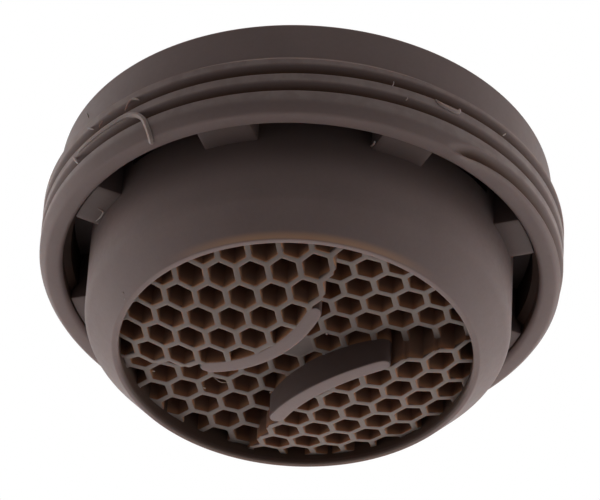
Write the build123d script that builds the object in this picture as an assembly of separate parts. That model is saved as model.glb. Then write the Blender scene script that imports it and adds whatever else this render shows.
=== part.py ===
from build123d import *
from build123d.topology import SkipClean
import math
import os

# Screw-in tap aerator, in millimetres: inlet up, outlet down, axis on Z, coin slot along X.
# It stands at z = 0 on the two ribs beside the coin slot.

# Threaded ring, with the walls measured inwards from the crest of the thread
THREAD_DIAMETER = 24.0
RING_HEIGHT = 5.57
RING_WALL = 1.4
LIP_WALL = 1.1
LIP_DEPTH = 0.75
LIP_ROUND = 0.25
FOOT_INSET = 0.33
FOOT_HEIGHT = 0.6
BAND_HEIGHT = 2.0
BAND_STEP = 0.62
BAND_CHAMFER = 0.15
SEAT_WALL = 0.45

# Thread: a helical groove that starts on the foot and runs out on the slope under the band
THREAD_PITCH = 1.0
THREAD_DEPTH = 0.5
GROOVE_WIDTH = 0.62
GROOVE_RISE = 0.475
GROOVE_START_ANGLE = -15.0
STRETCHES_PER_TURN = 2.5
RING_SECTORS = 4

# Sleeve, hung in the ring by its flange
RING_ABOVE_RIM = 4.43
FLANGE_THICKNESS = 1.2
FLANGE_LIP = 0.5
COLLAR_HEIGHT = 1.6
COLLAR_WALL = 1.1
AIR_GAP = 0.9
NECK_WALL = 1.1
TAPER_HEIGHT = 1.6
TAPER_ROUND = 1.4
OUTLET_STEP = 0.17
RIM_WIDTH = 0.3
RIM_ROUND = 0.12

# Lugs between sleeve and ring, with an air window between each two of them
LUG_COUNT = 8
LUG_WIDTH = 2.5
WINDOW_WIDTH = 3.6
WINDOW_HEIGHT = 1.2
WINDOW_DROP = 0.1

# Honeycomb outlet: two domed halves and a lower, flat channel
CELL_PITCH = 1.43
CELL_WALL = 0.32
DOME_RADIUS = 23.4
DOME_STAND = 0.94
CHANNEL_RECESS = 0.64

# Coin slot between two curved ribs
SLOT_WIDTH = 2.56
RIB_WIDTH = 0.74
RIB_ARC_RADIUS = 7.83
RIB_HALF_SPAN = 28.0

# Mixing grids, stacked on a ledge above the honeycomb
GRID_GAP = 1.1
GRID_LEDGE = 0.4
GRID_HEIGHT = 0.65
GRID_RIM = 0.7
GRID_BAR = 0.4
GRID_PITCH = 1.6

# Jet plate
JET_PLATE_HEIGHT = 1.6
JET_PLATE_FLOOR = 0.6
JET_PLATE_RIM = 0.95
JET_ROWS = 2
JETS_PER_ROW = 18
JET_DIAMETER = 0.8
JET_INSET = 1.0
JET_ROW_PITCH = 1.5

# Flow regulator
REGULATOR_LEDGE = 0.6
REGULATOR_BASE = 0.5
REGULATOR_INSET = 1.3
REGULATOR_WALL = 0.7
REGULATOR_WALL_HEIGHT = 1.2
CORE_HEIGHT = 1.9
CORE_CHAMFER = 0.5
FLUTE_COUNT = 12
FLUTE_DIAMETER = 0.8
O_RING_SECTION = 1.6
O_RING_ROOM = 0.5

# Inlet filter
FILTER_FLANGE = 0.5
FILTER_WALL = 0.6
FILTER_SKIRT = 1.1
FILTER_DOME = 2.6
FILTER_CAP_RADIUS = 1.6
FILTER_BAR = 0.5
FILTER_ROWS = 4

# Seal washer
WASHER_THICKNESS = 1.0
WASHER_WIDTH = 1.75
WASHER_STAND = 0.5

# Clearance between pieces that slide into each other, and how deep joined features reach into a wall
SLIDE_GAP = 0.05
ROOT = 0.15

# Radii, from the thread inwards
thread_r = THREAD_DIAMETER / 2
band_r = thread_r - BAND_STEP
seat_r = band_r - SEAT_WALL
lip_r = thread_r - LIP_WALL
ring_bore_r = thread_r - RING_WALL
flange_r = seat_r - SLIDE_GAP
rebate_r = flange_r - FLANGE_LIP
nose_r = lip_r - SLIDE_GAP
collar_r = ring_bore_r - SLIDE_GAP
insert_r = collar_r - COLLAR_WALL
neck_r = ring_bore_r - AIR_GAP
chamber_r = neck_r - NECK_WALL
ledge_r = chamber_r - GRID_LEDGE
bore_r = ledge_r - OUTLET_STEP
rim_r = bore_r + RIM_WIDTH
grid_r = chamber_r - SLIDE_GAP
jet_plate_r = insert_r - SLIDE_GAP
washer_r = rebate_r - SLIDE_GAP
washer_bore_r = washer_r - WASHER_WIDTH
filter_r = washer_bore_r - SLIDE_GAP
filter_bore_r = filter_r - FILTER_WALL

# Heights, from the ribs of the coin slot upwards to the ring, then from the washer down to the honeycomb
rib_rise = DOME_RADIUS - math.sqrt(DOME_RADIUS**2 - (SLOT_WIDTH / 2) ** 2)
dome_centre_z = DOME_RADIUS - rib_rise
rim_z = DOME_STAND - rib_rise
channel_z = rim_z + CHANNEL_RECESS
taper_z = rim_z + TAPER_HEIGHT
ring_z = rim_z + RING_ABOVE_RIM
ring_top_z = ring_z + RING_HEIGHT
band_z = ring_top_z - BAND_HEIGHT
flange_z = ring_top_z - FLANGE_THICKNESS
collar_z = flange_z - COLLAR_HEIGHT
washer_z = ring_top_z + WASHER_STAND - WASHER_THICKNESS
filter_z = washer_z - FILTER_FLANGE
jet_plate_z = filter_z - JET_PLATE_HEIGHT
regulator_z = filter_z - REGULATOR_BASE
window_z = collar_z - WINDOW_DROP - WINDOW_HEIGHT
upper_grid_z = window_z - WINDOW_DROP - GRID_HEIGHT
lower_grid_z = upper_grid_z - GRID_HEIGHT
comb_top_z = lower_grid_z - GRID_GAP


def profile(*points):
    """Closed face in the XZ plane from (radius, height) points."""
    return make_face(Polyline(*[(r, 0, z) for r, z in points], close=True))


def rounded(face, point, radius):
    """The face with its corner at (radius, height) rounded."""
    corner = face.vertices().sort_by_distance((point[0], 0, point[1]))[0]
    return fillet(corner, radius)


def prism(sketch, low, high):
    """The sketch pulled up from one height to another."""
    return extrude(Pos(0, 0, low) * sketch, amount=high - low)


def tube(outer, inner, low, high):
    return prism(Circle(outer) - Circle(inner), low, high)


def around(count, radius, start=0.0):
    return PolarLocations(radius, count, start_angle=start)


# Threaded ring
def thread_groove():
    """Stretches of the groove, each less than a turn long."""
    start_z = ring_z + GROOVE_RISE
    turns = (band_z - start_z) / THREAD_PITCH
    count = math.ceil(turns * STRETCHES_PER_TURN)
    half_width = GROOVE_WIDTH / 2
    section = profile(
        (thread_r - THREAD_DEPTH, 0),
        (thread_r + THREAD_DEPTH, -2 * half_width),
        (thread_r + THREAD_DEPTH, 2 * half_width),
    )
    rise = turns * THREAD_PITCH / count
    stretch = sweep(section, path=Helix(THREAD_PITCH, rise, thread_r), is_frenet=True)
    for index in range(count):
        turn = GROOVE_START_ANGLE + index * 360 * turns / count
        yield Pos(0, 0, start_z + index * rise) * Rot(0, 0, turn) * stretch


def threaded_ring():
    lip_top = ring_z + LIP_DEPTH
    lip_corner = (lip_r, ring_z)
    face = profile(
        lip_corner,
        (thread_r - FOOT_INSET, ring_z),
        (thread_r, ring_z + FOOT_HEIGHT),
        (thread_r, band_z - BAND_STEP),
        (band_r, band_z),
        (band_r, ring_top_z - BAND_CHAMFER),
        (band_r - BAND_CHAMFER, ring_top_z),
        (seat_r, ring_top_z),
        (seat_r, flange_z),
        (ring_bore_r, flange_z),
        (ring_bore_r, lip_top + lip_r - ring_bore_r),
        (lip_r, lip_top),
    )
    # Sector by sector and joined as they are, so that no crest face of the thread is longer than a sector
    sector_angle = 360 / RING_SECTORS
    blank = revolve(rounded(face, lip_corner, LIP_ROUND), Axis.Z, sector_angle)
    ring = Part()
    for index in range(RING_SECTORS):
        sector = Rot(0, 0, index * sector_angle) * blank
        for stretch in thread_groove():
            sector -= stretch
        with SkipClean():
            ring += sector
    return ring


# Outlet sleeve with honeycomb
def cell_centres():
    """Centres of the honeycomb's cells, out to one cell beyond the bore."""
    reach = bore_r + CELL_PITCH
    column_pitch = CELL_PITCH * math.cos(math.radians(30))
    columns = math.ceil(reach / column_pitch)
    rows = math.ceil(reach / CELL_PITCH) + 1
    for column in range(-columns, columns + 1):
        shift = CELL_PITCH / 2 * (column % 2)
        for row in range(-rows, rows + 1):
            x = column * column_pitch
            y = row * CELL_PITCH + shift
            if math.hypot(x, y) < reach:
                yield x, y


def raised(x, y):
    """Cells more than 30 degrees away from the slot belong to the domed halves."""
    return abs(y) > abs(x) * math.tan(math.radians(30)) + CELL_PITCH / 4


def hexagon(across_flats):
    return RegularPolygon(across_flats / 2, 6, major_radius=False)


def rib_sketch(side):
    """Curved rib on one side of the slot, hollow side away from the slot."""
    centre_y = side * (SLOT_WIDTH / 2 + RIB_ARC_RADIUS)
    reach = 2 * RIB_ARC_RADIUS
    half_span = math.radians(RIB_HALF_SPAN)
    far_x = reach * math.sin(half_span)
    far_y = centre_y - side * reach * math.cos(half_span)
    wedge = make_face(Polyline((0, centre_y), (far_x, far_y), (-far_x, far_y), close=True))
    band = Circle(RIB_ARC_RADIUS) - Circle(RIB_ARC_RADIUS - RIB_WIDTH)
    return (Pos(0, centre_y) * band) & wedge


def domed_half(side, cells):
    """Raised cells on one side of the slot, cut off along the rib's slot side."""
    centre_y = side * (SLOT_WIDTH / 2 + RIB_ARC_RADIUS)
    blocks = [Pos(x, y) * hexagon(CELL_PITCH + CELL_WALL) for x, y in cells if raised(x, y) and y * side > 0]
    field = blocks[0] + blocks[1:]
    return field & (Pos(0, centre_y) * Circle(RIB_ARC_RADIUS)) & Circle(bore_r + ROOT)


def honeycomb():
    cells = list(cell_centres())
    dome = Pos(0, 0, dome_centre_z) * Sphere(DOME_RADIUS)
    plate = prism(Circle(bore_r + ROOT), channel_z, comb_top_z)
    for side in (-1, 1):
        plate += prism(domed_half(side, cells), -rib_rise, comb_top_z) & dome
    hole = prism(hexagon(CELL_PITCH - CELL_WALL), -CELL_PITCH, comb_top_z + CELL_PITCH)
    plate -= [Pos(x, y) * hole for x, y in cells if 0 < math.hypot(x, y) < bore_r]
    for side in (-1, 1):
        plate += prism(rib_sketch(side), -rib_rise, comb_top_z) & dome
    return plate


def lugs():
    """Ribs in the ring's bore, each with a nose behind the ring's lip."""
    lip_top = ring_z + LIP_DEPTH
    face = profile(
        (neck_r - ROOT, ring_z),
        (nose_r, ring_z),
        (nose_r, lip_top),
        (collar_r, lip_top + lip_r - ring_bore_r),
        (collar_r, collar_z + ROOT),
        (neck_r - ROOT, collar_z + ROOT),
    )
    block = Box(thread_r, LUG_WIDTH, ring_top_z, align=(Align.MIN, Align.CENTER, Align.MIN))
    whole = revolve(face, Axis.Z)
    return [whole & (place * block) for place in around(LUG_COUNT, 0, 180 / LUG_COUNT)]


def outlet_sleeve():
    taper_corner = (neck_r, taper_z)
    rim_outer = (rim_r, rim_z)
    rim_inner = (bore_r, rim_z)
    face = profile(
        rim_inner,
        rim_outer,
        taper_corner,
        (neck_r, collar_z),
        (collar_r, collar_z),
        (collar_r, flange_z),
        (flange_r, flange_z),
        (flange_r, ring_top_z),
        (rebate_r, ring_top_z),
        (rebate_r, washer_z),
        (insert_r, washer_z),
        (insert_r, jet_plate_z),
        (chamber_r, jet_plate_z),
        (chamber_r, lower_grid_z),
        (ledge_r, lower_grid_z),
        (ledge_r, comb_top_z),
        (bore_r, comb_top_z),
    )
    face = rounded(face, taper_corner, TAPER_ROUND)
    face = rounded(face, rim_outer, RIM_ROUND)
    face = rounded(face, rim_inner, RIM_ROUND)
    body = revolve(face, Axis.Z)
    body += lugs()
    window = Box(3 * NECK_WALL, WINDOW_WIDTH, WINDOW_HEIGHT, align=(Align.CENTER, Align.CENTER, Align.MIN))
    body -= [place * Pos(0, 0, window_z) * window for place in around(LUG_COUNT, neck_r - NECK_WALL / 2)]
    return body + honeycomb()


# Mixing grids
def mixing_grid(low, turn):
    inner_r = grid_r - GRID_RIM
    bars_each_side = int((inner_r - GRID_BAR) / GRID_PITCH)
    web = Circle(grid_r) - Circle(inner_r)
    for step in range(-bars_each_side, bars_each_side + 1):
        y = step * GRID_PITCH
        length = 2 * math.sqrt((grid_r - GRID_RIM / 2) ** 2 - y**2)
        web += Pos(0, y) * Rectangle(length, GRID_BAR)
    return prism(Rot(0, 0, turn) * web, low, low + GRID_HEIGHT)


# Jet plate
def jet_plate():
    step_r = jet_plate_r - JET_PLATE_RIM
    chamber_low = jet_plate_z + JET_PLATE_FLOOR
    plate = prism(Circle(jet_plate_r), jet_plate_z, filter_z)
    plate -= prism(Circle(step_r), regulator_z, filter_z)
    plate -= prism(Circle(step_r - REGULATOR_LEDGE), chamber_low, filter_z)
    jet = prism(Circle(JET_DIAMETER / 2), jet_plate_z, filter_z)
    for row in range(JET_ROWS):
        row_r = step_r - REGULATOR_LEDGE - JET_INSET - row * JET_ROW_PITCH
        stagger = row * 180 / JETS_PER_ROW
        plate -= [place * jet for place in around(JETS_PER_ROW, row_r, stagger)]
    return plate


# Flow regulator
base_r = jet_plate_r - JET_PLATE_RIM - SLIDE_GAP
regulator_wall_r = filter_bore_r - REGULATOR_INSET
o_ring_outer_r = regulator_wall_r - REGULATOR_WALL - O_RING_ROOM
core_r = o_ring_outer_r - O_RING_SECTION - SLIDE_GAP


def regulator_body():
    core_top = filter_z + CORE_HEIGHT
    core = profile(
        (0, regulator_z),
        (core_r, regulator_z),
        (core_r, core_top - CORE_CHAMFER),
        (core_r - CORE_CHAMFER, core_top),
        (0, core_top),
    )
    body = prism(Circle(base_r), regulator_z, filter_z)
    body += tube(regulator_wall_r, regulator_wall_r - REGULATOR_WALL, regulator_z, filter_z + REGULATOR_WALL_HEIGHT)
    body += revolve(core, Axis.Z)
    flute = prism(Circle(FLUTE_DIAMETER / 2), regulator_z, core_top)
    body -= [place * flute for place in around(FLUTE_COUNT, core_r)]
    return body


def regulator_o_ring():
    half = O_RING_SECTION / 2
    return Pos(0, 0, filter_z + half) * Torus(o_ring_outer_r - half, half)


# Inlet filter
def inlet_filter():
    skirt_top = washer_z + FILTER_SKIRT
    dome_r = (filter_r**2 + FILTER_DOME**2) / (2 * FILTER_DOME)
    dome_top = skirt_top + FILTER_DOME
    centre = Pos(0, 0, dome_top - dome_r)
    shell = prism(Circle(filter_r), filter_z, dome_top) & (centre * Sphere(dome_r))
    shell += prism(Circle(jet_plate_r), filter_z, washer_z)
    shell -= prism(Circle(filter_bore_r), filter_z, dome_top) & (centre * Sphere(dome_r - FILTER_WALL))
    row_pitch = (filter_bore_r - FILTER_CAP_RADIUS) / FILTER_ROWS
    for row in range(FILTER_ROWS):
        inner = FILTER_CAP_RADIUS + row * row_pitch
        outer = inner + row_pitch - FILTER_BAR
        count = int(math.pi * (inner + outer) / row_pitch)
        bar = Pos((inner + outer) / 2, 0) * Rectangle(2 * row_pitch, FILTER_BAR)
        openings = Circle(outer) - Circle(inner) - [place * bar for place in around(count, 0)]
        shell -= prism(openings, washer_z, dome_top)
    return shell


# Seal washer
def seal_washer():
    return tube(washer_r, washer_bore_r, washer_z, washer_z + WASHER_THICKNESS)


pieces = {
    "threaded_ring": threaded_ring(),
    "outlet_sleeve": outlet_sleeve(),
    "lower_mixing_grid": mixing_grid(lower_grid_z, 0),
    "upper_mixing_grid": mixing_grid(upper_grid_z, 90),
    "jet_plate": jet_plate(),
    "regulator_body": regulator_body(),
    "regulator_o_ring": regulator_o_ring(),
    "inlet_filter": inlet_filter(),
    "seal_washer": seal_washer(),
}

os.makedirs("parts", exist_ok=True)
for name, piece in pieces.items():
    export_step(piece, f"parts/{name}.step")
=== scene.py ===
import math

import bmesh
import bpy
from bpy.props import FloatProperty, FloatVectorProperty, IntProperty, PointerProperty
from mathutils import Matrix, Vector


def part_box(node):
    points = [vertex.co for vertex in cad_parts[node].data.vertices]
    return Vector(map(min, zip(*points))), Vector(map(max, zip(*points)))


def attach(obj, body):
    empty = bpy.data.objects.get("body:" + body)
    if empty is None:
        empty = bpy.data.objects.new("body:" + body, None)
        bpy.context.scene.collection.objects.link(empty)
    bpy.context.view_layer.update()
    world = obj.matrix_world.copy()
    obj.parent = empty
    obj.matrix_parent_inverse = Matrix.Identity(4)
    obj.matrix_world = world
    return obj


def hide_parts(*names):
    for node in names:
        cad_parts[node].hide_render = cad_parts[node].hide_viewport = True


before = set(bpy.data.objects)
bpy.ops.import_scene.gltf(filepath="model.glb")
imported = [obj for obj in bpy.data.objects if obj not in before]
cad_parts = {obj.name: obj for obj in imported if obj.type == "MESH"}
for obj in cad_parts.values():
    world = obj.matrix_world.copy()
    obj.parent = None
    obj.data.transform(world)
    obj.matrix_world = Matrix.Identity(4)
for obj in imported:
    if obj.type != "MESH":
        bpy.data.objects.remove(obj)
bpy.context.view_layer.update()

bl_info = {
    "name": "Tap aerator looks",
    "version": (1, 0, 0),
    "blender": (4, 5, 0),
    "location": "View3D > Sidebar > Aerator",
    "description": "Dresses the packed solids of a screw-in tap aerator",
    "category": "Object",
}

MM = 0.001
BODY = "root"
RING_LOW, RING_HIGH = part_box("threaded_ring")
SLEEVE_LOW, SLEEVE_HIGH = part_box("outlet_sleeve")
SHARP_ANGLE = math.radians(32)
BEVEL_ANGLE = math.radians(30)
HEXAGON_SLANT = math.radians(30)
MERGE_DISTANCE = 0.0005 * MM
CAD_MERGE_DISTANCE = 0.001 * MM


# Property helpers
def length(name, description, millimetres):
    return FloatProperty(
        name=name, description=description, default=millimetres * MM, unit="LENGTH", precision=5
    )


def angle(name, description, degrees):
    return FloatProperty(name=name, description=description, default=math.radians(degrees), subtype="ANGLE")


def colour(name, description, red, green, blue):
    return FloatVectorProperty(
        name=name,
        description=description,
        default=(red, green, blue, 1.0),
        size=4,
        min=0.0,
        max=1.0,
        subtype="COLOR",
    )


class AeratorRingSizes(bpy.types.PropertyGroup):
    """Sizes of the threaded ring."""

    crest_radius: length("Crest radius", "Radius of the thread's crest", RING_HIGH.x / MM)
    bottom: length("Bottom", "Height of the ring's lower face", RING_LOW.z / MM)
    top: length("Top", "Height of the ring's upper face", RING_HIGH.z / MM)
    foot_inset: length("Foot inset", "How far the thread's foot tapers inwards", 0.33)
    foot_height: length("Foot height", "Height of that taper", 0.6)
    lip_wall: length("Lip wall", "Wall of the lip, inwards from the crest", 1.1)
    lip_depth: length("Lip depth", "Height of the lip", 0.75)
    lip_round: length("Lip rounding", "Rounding of the lip's inner edge", 0.25)
    wall: length("Wall", "Wall above the lip, inwards from the crest", 1.4)
    band_height: length("Band height", "Height of the plain band above the thread", 2.0)
    band_step: length("Band step", "How far the band lies inside the crest", 0.62)
    seat_wall: length("Seat wall", "Wall round the seat of the sleeve's flange", 0.45)
    seat_depth: length("Seat depth", "Depth of that seat", 1.2)
    edge_round: length("Edge rounding", "Rounding of the moulded edges", 0.08)
    thread_pitch: length("Thread pitch", "Rise of the thread in one turn", 1.0)
    thread_depth: length("Thread depth", "Depth of the groove", 0.5)
    groove_half_width: length("Groove half width", "Half the width of the groove at the crest", 0.31)
    groove_start: length("Groove start", "Height from which the groove rises", 5.81)
    groove_turn: angle("Groove turn", "Plan angle at which the groove starts", -15.0)
    groove_entry: angle("Groove entry", "Arc over which the groove's end slopes in", 6.0)
    groove_fade: angle("Groove fade", "Arc over which the groove reaches its depth", 22.0)
    groove_drop: length("Groove drop", "How far the groove's start dips towards the foot", 0.38)
    segments: IntProperty(name="Segments", description="Columns round the ring", default=480)


class AeratorSleeveSizes(bpy.types.PropertyGroup):
    """Sizes of the outlet sleeve and its honeycomb."""

    rim_height: length("Rim height", "Height of the outlet rim", 0.905)
    rim_radius: length("Rim radius", "Outer radius of the outlet rim", 8.33)
    bore_radius: length("Bore radius", "Radius of the outlet bore", 8.03)
    rim_round: length("Rim rounding", "Rounding of the rim's two edges", 0.12)
    neck_radius: length("Neck radius", "Outer radius of the neck", 9.7)
    chamber_radius: length("Chamber radius", "Inner radius of the neck", 8.6)
    ledge_radius: length("Ledge radius", "Inner radius of the ledge under the grids", 8.2)
    taper_height: length("Taper height", "Height of the taper above the rim", 1.6)
    taper_round: length("Taper rounding", "Rounding between taper and neck", 1.0)
    collar_radius: length("Collar radius", "Radius of the collar in the ring's bore", 10.55)
    collar_height: length("Collar height", "Height of the collar's lower face", 8.105)
    flange_radius: length("Flange radius", "Radius of the flange on the ring's seat", 10.88)
    flange_height: length("Flange height", "Height of the flange's lower face", 9.705)
    top: length("Top", "Height of the sleeve's upper face", SLEEVE_HIGH.z / MM)
    rebate_radius: length("Rebate radius", "Radius of the rebate for the washer", 10.38)
    washer_height: length("Washer height", "Height of the washer's lower face", 10.405)
    insert_radius: length("Insert radius", "Radius of the bore for the jet plate", 9.45)
    jet_plate_height: length("Jet plate height", "Height of the jet plate's lower face", 8.305)
    grid_height: length("Grid height", "Height of the lower mixing grid", 5.405)
    nose_radius: length("Nose radius", "Reach of the lugs behind the ring's lip", 10.85)
    lug_count: IntProperty(name="Lugs", description="Lugs between sleeve and ring", default=8)
    lug_width: length("Lug width", "Width of a lug", 2.5)
    lug_recess: length("Lug recess", "How far the lugs stay above the ring's lower face", 0.22)
    lug_round: length("Lug rounding", "Rounding of the lugs' edges", 0.07)
    window_width: length("Window width", "Width of an air window", 3.6)
    window_low: length("Window foot", "Height of an air window's lower edge", 6.805)
    window_height: length("Window height", "Height of an air window", 1.2)
    comb_top: length("Comb top", "Height of the honeycomb's upper face", 4.305)
    channel_height: length("Channel height", "Height of the channel's lower face", 1.545)
    cell_pitch: length("Cell pitch", "Distance between the cells' centres", 1.43)
    cell_wall: length("Cell wall", "Wall between two cells", 0.29)
    cell_round: length("Cell rounding", "Rounding of the cells' edges", 0.05)
    dome_radius: length("Dome radius", "Radius of the domed halves", 23.4)
    dome_centre: length("Dome centre", "Height of the dome's centre", 23.365)
    slot_width: length("Slot width", "Width of the coin slot at its middle", 2.56)
    rib_width: length("Rib width", "Width of the ribs beside the slot", 0.74)
    rib_radius: length("Rib radius", "Plan radius of a rib's slot side", 7.83)
    rib_half_span: angle("Rib half span", "Half the arc that a rib covers", 28.0)
    rib_round: length("Rib rounding", "Rounding of the ribs' edges", 0.07)
    rib_end: length("Rib end", "Length over which a rib's ends are rounded in plan", 0.5)
    segments: IntProperty(name="Segments", description="Columns round the sleeve", default=256)


class AeratorColours(bpy.types.PropertyGroup):
    """Colours of the finishes."""

    plastic: colour("Plastic", "Warm grey moulded plastic", 0.212, 0.152, 0.142)
    # Paler scuffs, also used as a painted highlight on the thread's edges
    rubbed: colour("Rubbed plastic", "Plastic scuffed pale, also painted as a highlight on edges", 0.36, 0.285, 0.265)
    comb: colour("Comb plastic", "Cooler grey of the honeycomb", 0.19, 0.148, 0.132)
    # Painted shade for the gap behind the ring and for the cell and rib walls
    painted_shade: colour("Painted shade", "Darker plastic in the gap behind the ring", 0.105, 0.072, 0.066)
    torn: colour("Torn plastic", "Pale strands and burrs of torn plastic", 0.33, 0.262, 0.243)
    # Painted light: a glow above the rim's near side
    painted_rim_glow: colour("Painted rim glow", "Painted glow above the thin rim's near side", 0.42, 0.25, 0.165)
    # Painted shade for the outlet's bore and the ring's inner wall
    bore: colour("Bore", "Dark inner wall of the outlet", 0.075, 0.045, 0.034)
    # Painted brown shade for the groove, the slope under the band and the rim's far side
    groove: colour("Groove", "Painted brown shade in the bottom of the thread", 0.145, 0.082, 0.058)
    # Painted glow just inside each cell, and painted shade deeper in
    painted_cell_glow: colour("Painted cell glow", "Painted glow on the webs beside an opening", 0.30, 0.145, 0.075)
    cell_depth: colour("Cell depth", "Brown dark inside a cell", 0.18, 0.098, 0.068)
    filter: colour("Filter", "Pale plastic of the inlet filter", 0.62, 0.61, 0.58)
    insert: colour("Insert", "Plastic of the pieces inside", 0.55, 0.54, 0.50)
    rubber: colour("Rubber", "Black seal rubber", 0.022, 0.021, 0.020)
    floor: colour("Floor", "Pale floor", 0.86, 0.86, 0.86)


# Mesh helpers
def corner_arc(before, corner, after, radius, steps):
    """Points of the arc that rounds one corner of an outline."""
    inwards = (before - corner).normalized()
    outwards = (after - corner).normalized()
    half = inwards.angle(outwards) / 2
    centre = corner + (inwards + outwards).normalized() * (radius / math.sin(half))
    first = corner + inwards * (radius / math.tan(half)) - centre
    last = corner + outwards * (radius / math.tan(half)) - centre
    sweep = first.angle_signed(last)
    return [centre + Matrix.Rotation(-sweep * step / steps, 2) @ first for step in range(steps + 1)]


def rounded_outline(corners, steps=6):
    """Outline of (radius, height) points from corners of (radius, height, rounding)."""
    points = [Vector(corner[:2]) for corner in corners]
    outline = []
    for index, corner in enumerate(corners):
        if corner[2] > 0:
            after = points[(index + 1) % len(points)]
            outline += corner_arc(points[index - 1], points[index], after, corner[2], steps)
        else:
            outline.append(points[index])
    return outline


def remap_plain(value, low, high):
    """0 at low, 1 at high, straight in between."""
    return min(1.0, max(0.0, (value - low) / (high - low)))


def around_axis(radius, turn, height):
    return Vector((radius * math.cos(turn), radius * math.sin(turn), height))


def skin(bm, columns, closed=False, full_turn=True):
    """Quads between columns of vertices, joined round a full turn, and round each column where closed."""
    neighbours = list(zip(columns, columns[1:]))
    if full_turn:
        neighbours.append((columns[-1], columns[0]))
    for column, following in neighbours:
        rows = len(column)
        for row in range(rows if closed else rows - 1):
            upper = (row + 1) % rows
            bm.faces.new((column[row], following[row], following[upper], column[upper]))


def revolve(bm, outline, segments, closed=True):
    """The outline turned round Z."""
    columns = []
    for index in range(segments):
        turn = 2 * math.pi * index / segments
        columns.append([bm.verts.new(around_axis(point.x, turn, point.y)) for point in outline])
    skin(bm, columns, closed)


def shade(bm):
    """Smooth faces with sharp creases."""
    for face in bm.faces:
        face.smooth = True
    for edge in bm.edges:
        edge.smooth = edge.calc_face_angle(0.0) < SHARP_ANGLE


def finish_mesh(bm, name):
    """A shaded mesh with merged seams and outward normals."""
    bmesh.ops.remove_doubles(bm, verts=bm.verts, dist=MERGE_DISTANCE)
    bmesh.ops.dissolve_degenerate(bm, edges=bm.edges, dist=MERGE_DISTANCE)
    bmesh.ops.recalc_face_normals(bm, faces=bm.faces)
    shade(bm)
    mesh = bpy.data.meshes.new(name)
    bm.to_mesh(mesh)
    bm.free()
    return mesh


def new_object(name, mesh):
    piece = bpy.data.objects.new(name, mesh)
    bpy.context.scene.collection.objects.link(piece)
    return piece


def bevel(piece, width, segments=2):
    modifier = piece.modifiers.new("Rounded edges", "BEVEL")
    modifier.width = width
    modifier.segments = segments
    modifier.limit_method = "ANGLE"
    modifier.angle_limit = BEVEL_ANGLE
    modifier.use_clamp_overlap = False
    modifier.miter_outer = "MITER_ARC"


def settle(piece):
    """Turns a piece's modifiers into its own plain mesh."""
    graph = bpy.context.evaluated_depsgraph_get()
    mesh = bpy.data.meshes.new_from_object(piece.evaluated_get(graph))
    piece.modifiers.clear()
    piece.data = mesh
    bm = bmesh.new()
    bm.from_mesh(mesh)
    shade(bm)
    bm.to_mesh(mesh)
    bm.free()


def place(piece, material, slot, *nodes):
    """Gives a piece its finish and lets it stand for the CAD nodes."""
    piece.data.materials.clear()
    piece.data.materials.append(material)
    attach(piece, BODY)
    if nodes:
        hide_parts(*nodes)


# Node helpers
def add_node(tree, kind, inputs=None, **settings):
    """A node with its settings, and inputs by name or position as links or plain values."""
    node = tree.nodes.new(kind)
    for key, value in settings.items():
        setattr(node, key, value)
    for key, value in (inputs or {}).items():
        socket = node.inputs[key]
        if isinstance(value, bpy.types.NodeSocket):
            tree.links.new(value, socket)
        else:
            socket.default_value = value
    return node


def calculate(tree, operation, *values):
    """Output of a math node."""
    return add_node(tree, "ShaderNodeMath", dict(enumerate(values)), operation=operation).outputs[0]


def product(tree, *values):
    """Product of masks and plain values."""
    result = values[0]
    for value in values[1:]:
        result = calculate(tree, "MULTIPLY", result, value)
    return result


def calculate_vector(tree, operation, *values):
    """Vector output of a vector math node."""
    node = add_node(tree, "ShaderNodeVectorMath", dict(enumerate(values)), operation=operation)
    return node.outputs["Vector"]


def vector_length(tree, vector):
    return add_node(tree, "ShaderNodeVectorMath", {0: vector}, operation="LENGTH").outputs["Value"]


def combine(tree, **parts):
    """Vector from its X, Y and Z, each 0 where it isn't given."""
    return add_node(tree, "ShaderNodeCombineXYZ", parts).outputs[0]


def separate(tree, vector):
    """Outputs X, Y and Z of a vector."""
    return add_node(tree, "ShaderNodeSeparateXYZ", {"Vector": vector}).outputs


def object_place(tree):
    return add_node(tree, "ShaderNodeTexCoord").outputs["Object"]


def attribute(tree, name):
    return add_node(tree, "ShaderNodeAttribute", attribute_name=name).outputs["Fac"]


def noise(tree, where, scale, detail):
    inputs = {"Vector": where, "Scale": scale, "Detail": detail}
    return add_node(tree, "ShaderNodeTexNoise", inputs).outputs["Fac"]


def dot_product(tree, first, second):
    inputs = {0: first, 1: tuple(second)}
    return add_node(tree, "ShaderNodeVectorMath", inputs, operation="DOT_PRODUCT").outputs["Value"]


def one_side(tree, way, direction):
    """How far a direction points to one side, and 0 where it points to the other."""
    return calculate(tree, "MAXIMUM", dot_product(tree, way, direction), 0.0)


def remap(tree, value, low, high):
    """Smooth mask from 0 at low to 1 at high."""
    inputs = {"Value": value, "From Min": low, "From Max": high}
    return add_node(tree, "ShaderNodeMapRange", inputs, interpolation_type="SMOOTHSTEP").outputs["Result"]


def blend_colours(tree, factor, first, second, kind="MIX"):
    inputs = {0: factor, 6: first, 7: second}
    return add_node(tree, "ShaderNodeMix", inputs, data_type="RGBA", blend_type=kind).outputs[2]


def new_sockets(tree, direction, **kinds):
    for name, kind in kinds.items():
        tree.interface.new_socket(name=name.replace("_", " "), in_out=direction, socket_type=kind)


def set_inputs(modifier, **values):
    """Sets a geometry tree's named inputs through their identifiers."""
    for item in modifier.node_group.interface.items_tree:
        key = item.name.replace(" ", "_").lower()
        if item.item_type == "SOCKET" and item.in_out == "INPUT" and key in values:
            modifier[item.identifier] = values[key]


# Shader groups shared by the finishes
CLOUD_SCALE = 420.0
GRAIN_SCALE = 7000.0
SPECKLE_SCALE = 2600.0
PATCH_SCALE = 1500.0
GRAIN_SHARE = 0.6
SPECKLE_SHARE = 0.5
ROUGHNESS_SWING = 0.22
GRAIN_RELIEF = 0.006 * MM
COMB_RELIEF = 0.005 * MM


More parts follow.
